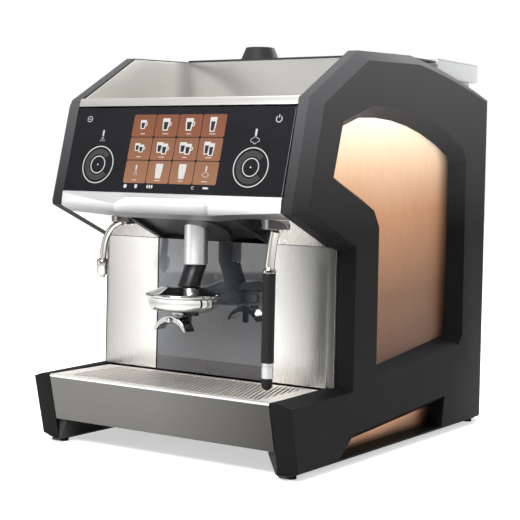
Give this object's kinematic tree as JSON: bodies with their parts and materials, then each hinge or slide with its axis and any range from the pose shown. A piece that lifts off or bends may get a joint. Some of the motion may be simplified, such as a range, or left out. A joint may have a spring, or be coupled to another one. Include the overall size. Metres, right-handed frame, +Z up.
{
  "type": "countertop coffee machine",
  "caption": "Countertop fully automatic coffee machine: sloping touch-glass front, sliding chrome outlet, steam wand, hot water spout and slide-out drip tray between two moulded side panels.",
  "frame": {"origin": "middle of the body on the surface it stands on", "axes": "+X to the right seen from the front, +Y to the rear, +Z up"},
  "size_m": [0.414, 0.6, 0.568],
  "materials": {
    "side_plastic": "fine-textured charcoal moulding",
    "insert_copper": "satin copper-coloured anodised sheet",
    "black_plastic": "black moulding",
    "foot_rubber": "black rubber",
    "brushed_sheet": "brushed stainless sheet",
    "plain_sheet": "plain stainless and zinc-plated sheet",
    "black_glass": "gloss black back-printed glass",
    "display_black": "black display housing",
    "board_green": "green circuit board",
    "satin_trim": "satin silver",
    "rear_paint": "charcoal powder coat",
    "screw_zinc": "zinc-plated screws",
    "pipe_copper": "copper pipe",
    "fitting_brass": "turned brass",
    "chrome_plate": "polished chrome",
    "grip_rubber": "black silicone sleeve",
    "tray_steel": "bead-blasted stainless sheet",
    "hopper_clear": "frosted clear plastic"
  },
  "bodies": {
    "machine": {"base_pan": "plain_sheet", "foot_rail_left": "black_plastic", "foot_rail_right": "black_plastic", "foot_pads": "foot_rubber", "side_panel_left": "side_plastic", "side_panel_right": "side_plastic", "side_insert_left": "insert_copper", "side_insert_right": "insert_copper", "lower_insert_left": "insert_copper", "lower_insert_right": "insert_copper", "chassis_left": "plain_sheet", "chassis_right": "plain_sheet", "splash_steel_left": "brushed_sheet", "splash_steel_right": "brushed_sheet", "corner_strips": "brushed_sheet", "splash_glass": "black_glass", "front_glass": "black_glass", "display_module": "display_black", "head_carrier": "plain_sheet", "control_board": "board_green", "trim_bar": "satin_trim", "cup_well": "brushed_sheet", "underside_left": "brushed_sheet", "underside_right": "brushed_sheet", "ceiling_plate": "brushed_sheet", "ceiling_frame": "black_plastic", "outlet_collar": "black_plastic", "rear_cover": "rear_paint", "cover_screws": "screw_zinc", "service_deck": "plain_sheet", "coffee_boiler": "plain_sheet", "steam_boiler": "plain_sheet", "boiler_pipes": "pipe_copper", "brew_group": "black_plastic", "grinder_left": "black_plastic", "grinder_right": "black_plastic", "pump_motor": "black_plastic", "pump_head": "fitting_brass", "power_supply": "plain_sheet", "fan_frame": "black_plastic", "rear_fittings": "fitting_brass", "wand_sockets": "chrome_plate"},
    "outlet": {"outlet_column": "satin_trim", "outlet_neck": "black_plastic", "outlet_dome": "chrome_plate", "outlet_spout": "chrome_plate"},
    "water_spout": {"water_wand": "chrome_plate"},
    "steam_swing": {"steam_ball": "chrome_plate"},
    "steam_wand": {"steam_tube": "chrome_plate", "steam_sleeve": "grip_rubber", "steam_tip": "chrome_plate"},
    "tray": {"drip_tray": "tray_steel"},
    "grid": {"drip_grid": "tray_steel"},
    "hopper": {"bean_hopper": "hopper_clear"},
    "lid": {"hopper_lid": "hopper_clear"},
    "cover": {"service_cover": "black_plastic"},
    "piston": {"brew_piston": "plain_sheet"},
    "burr_l": {"burr_left": "plain_sheet"},
    "burr_r": {"burr_right": "plain_sheet"},
    "fan": {"fan_rotor": "black_plastic"}
  },
  "joints": [
    {"name": "outlet_height", "type": "slide", "parent": "machine", "child": "outlet", "axis": [0, 0, 1], "range_m": [0, 0.052]},
    {"name": "water_swivel", "type": "hinge", "parent": "machine", "child": "water_spout", "pos_m": [-0.108, -0.232, 0.316], "axis": [0, 0, 1], "range_deg": [-45, 40]},
    {"name": "steam_side", "type": "hinge", "parent": "machine", "child": "steam_swing", "pos_m": [0.145, -0.242, 0.316], "axis": [0, 1, 0], "range_deg": [-6, 15]},
    {"name": "steam_pull", "type": "hinge", "parent": "steam_swing", "child": "steam_wand", "pos_m": [0.145, -0.242, 0.316], "axis": [-1, 0, 0], "range_deg": [-8, 24]},
    {"name": "tray_slide", "type": "slide", "parent": "machine", "child": "tray", "axis": [0, -1, 0], "range_m": [0, 0.2]},
    {"name": "grid_lift", "type": "slide", "parent": "tray", "child": "grid", "axis": [0, 0, 1], "range_m": [0, 0.004]},
    {"name": "hopper_lift", "type": "slide", "parent": "machine", "child": "hopper", "axis": [0, 0, 1], "range_m": [0, 0.12]},
    {"name": "lid_lift", "type": "slide", "parent": "hopper", "child": "lid", "axis": [0, 0, 1], "range_m": [0, 0.04]},
    {"name": "cover_hinge", "type": "hinge", "parent": "machine", "child": "cover", "pos_m": [0, 0.143, 0.5405], "axis": [-1, 0, 0], "range_deg": [0, 72]},
    {"name": "brew_stroke", "type": "slide", "parent": "machine", "child": "piston", "axis": [0, 0, -1], "range_m": [0, 0.04]},
    {"name": "burr_left_spin", "type": "hinge", "parent": "machine", "child": "burr_l", "pos_m": [-0.088, 0.225, 0.385], "axis": [0, 0, 1], "continuous": true},
    {"name": "burr_right_spin", "type": "hinge", "parent": "machine", "child": "burr_r", "pos_m": [0.088, 0.225, 0.385], "axis": [0, 0, 1], "continuous": true},
    {"name": "fan_spin", "type": "hinge", "parent": "machine", "child": "fan", "pos_m": [0.1, 0.277, 0.35], "axis": [0, 1, 0], "continuous": true}
  ]
}
